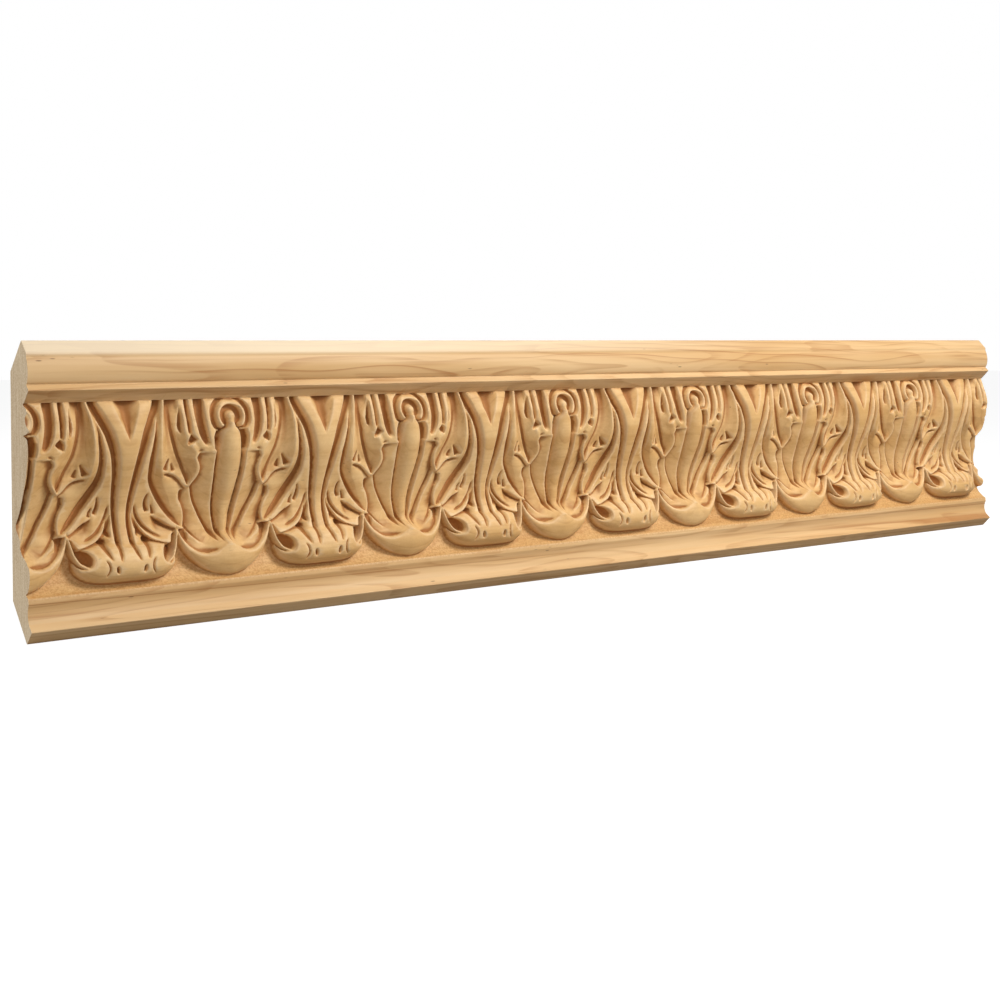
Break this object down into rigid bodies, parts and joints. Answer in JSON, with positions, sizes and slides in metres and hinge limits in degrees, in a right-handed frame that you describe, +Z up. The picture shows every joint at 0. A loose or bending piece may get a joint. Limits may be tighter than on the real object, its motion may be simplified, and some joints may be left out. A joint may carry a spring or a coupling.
{
  "type": "carved wood crown moulding",
  "caption": "Length of crown moulding with a carved band of shells and acanthus between a bead and a cove, bevelled to seat on wall and ceiling.",
  "frame": {"origin": "centre of the flat back, at mid-length and mid-height of the flat between the two bevels", "axes": "+X along the length, +Y out of the back towards what it is fixed to, +Z up, so the carved front faces -Y"},
  "size_m": [0.567, 0.0187, 0.1081],
  "materials": {
    "maple": "unfinished sanded maple, pale honey colour with fine straight grain along the length and darker cut grooves"
  },
  "bodies": {
    "root": {"carved_moulding": "maple"}
  },
  "joints": []
}
